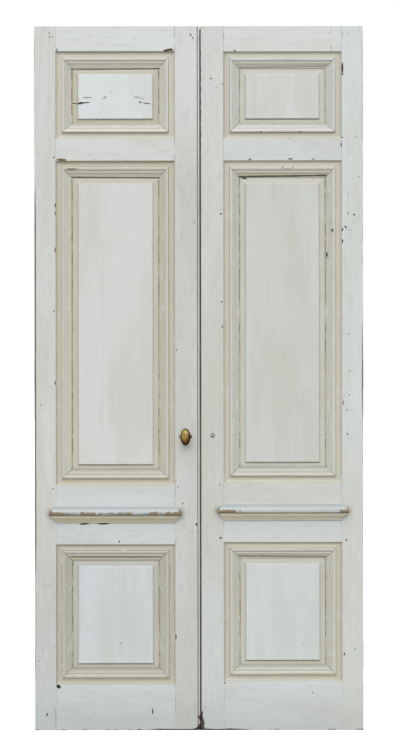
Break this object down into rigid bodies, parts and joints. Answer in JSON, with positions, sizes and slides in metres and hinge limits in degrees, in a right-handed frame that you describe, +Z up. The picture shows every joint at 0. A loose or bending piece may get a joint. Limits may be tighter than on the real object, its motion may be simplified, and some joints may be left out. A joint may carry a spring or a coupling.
{
  "type": "pair of panelled double doors",
  "caption": "Pair of old painted double doors with fielded panels, bolection mouldings, moulded ledges, an oval brass knob, knob-thrown bolt, flush bolts and lift-off hinges.",
  "frame": {"origin": "on the floor line, under the middle of the closed pair", "axes": "+X to the viewer's right along the pair, +Y away from the viewer through the doors, +Z up"},
  "size_m": [1.1294, 0.13, 2.4],
  "materials": {
    "aged_white_paint": "aged off-white oil paint, chipped and soiled",
    "tan_paint": "aged cream paint with soiled hollows",
    "peg_wood": "painted end grain",
    "aged_brass": "handled brass with dark patina",
    "hinge_iron": "dark aged iron",
    "dark_steel": "dull aged steel"
  },
  "bodies": {
    "jamb_hardware": {"left_lower_jamb_plate": "hinge_iron", "left_middle_jamb_plate": "hinge_iron", "left_upper_jamb_plate": "hinge_iron", "right_lower_jamb_plate": "hinge_iron", "right_middle_jamb_plate": "hinge_iron", "right_upper_jamb_plate": "hinge_iron"},
    "left_leaf": {"left_hinge_stile": "aged_white_paint", "left_meeting_stile": "aged_white_paint", "left_top_rail": "aged_white_paint", "left_frieze_rail": "aged_white_paint", "left_lock_rail": "aged_white_paint", "left_bottom_rail": "aged_white_paint", "left_top_panel": "aged_white_paint", "left_tall_panel": "aged_white_paint", "left_bottom_panel": "aged_white_paint", "left_top_moulding": "tan_paint", "left_tall_moulding": "tan_paint", "left_bottom_moulding": "tan_paint", "left_ledge": "aged_white_paint", "left_tenon_pegs": "peg_wood", "left_lower_door_plate": "hinge_iron", "left_middle_door_plate": "hinge_iron", "left_upper_door_plate": "hinge_iron", "lock_case": "dark_steel", "lock_cover": "dark_steel", "lock_faceplate": "dark_steel", "front_rose": "aged_brass", "rear_rose": "aged_brass"},
    "right_leaf": {"right_hinge_stile": "aged_white_paint", "right_meeting_stile": "aged_white_paint", "right_top_rail": "aged_white_paint", "right_frieze_rail": "aged_white_paint", "right_lock_rail": "aged_white_paint", "right_bottom_rail": "aged_white_paint", "right_top_panel": "aged_white_paint", "right_tall_panel": "aged_white_paint", "right_bottom_panel": "aged_white_paint", "right_top_moulding": "tan_paint", "right_tall_moulding": "tan_paint", "right_bottom_moulding": "tan_paint", "right_ledge": "aged_white_paint", "right_tenon_pegs": "peg_wood", "right_lower_door_plate": "hinge_iron", "right_middle_door_plate": "hinge_iron", "right_upper_door_plate": "hinge_iron", "strike_plate": "dark_steel", "spindle_hole_plug": "peg_wood", "top_bolt_plate": "dark_steel", "bottom_bolt_plate": "dark_steel"},
    "knob": {"knob_spindle": "dark_steel", "lock_follower": "dark_steel", "front_knob": "aged_brass", "rear_knob": "aged_brass"},
    "lock_bolt": {"lock_bolt": "dark_steel"},
    "top_bolt": {"top_flush_bolt": "dark_steel"},
    "bottom_bolt": {"bottom_flush_bolt": "dark_steel"}
  },
  "joints": [
    {"name": "left_door_swing", "type": "hinge", "parent": "jamb_hardware", "child": "left_leaf", "pos_m": [-0.5587, 0.0275, 0], "axis": [0, 0, 1], "range_deg": [0, 110]},
    {"name": "right_door_swing", "type": "hinge", "parent": "jamb_hardware", "child": "right_leaf", "pos_m": [0.5587, 0.0275, 0], "axis": [0, 0, -1], "range_deg": [0, 110]},
    {"name": "knob_turn", "type": "hinge", "parent": "left_leaf", "child": "knob", "pos_m": [-0.04563, 0, 1.00096], "axis": [0, 1, 0], "range_deg": [0, 60]},
    {"name": "bolt_slide", "type": "slide", "parent": "left_leaf", "child": "lock_bolt", "axis": [1, 0, 0], "range_m": [0, 0.0141]},
    {"name": "top_bolt_slide", "type": "slide", "parent": "right_leaf", "child": "top_bolt", "axis": [0, 0, 1], "range_m": [0, 0.02]},
    {"name": "bottom_bolt_slide", "type": "slide", "parent": "right_leaf", "child": "bottom_bolt", "axis": [0, 0, -1], "range_m": [0, 0.02]}
  ],
  "couplings": [
    {"joint": "bolt_slide", "follows": "knob_turn", "m_per_rad": 0.01337}
  ]
}
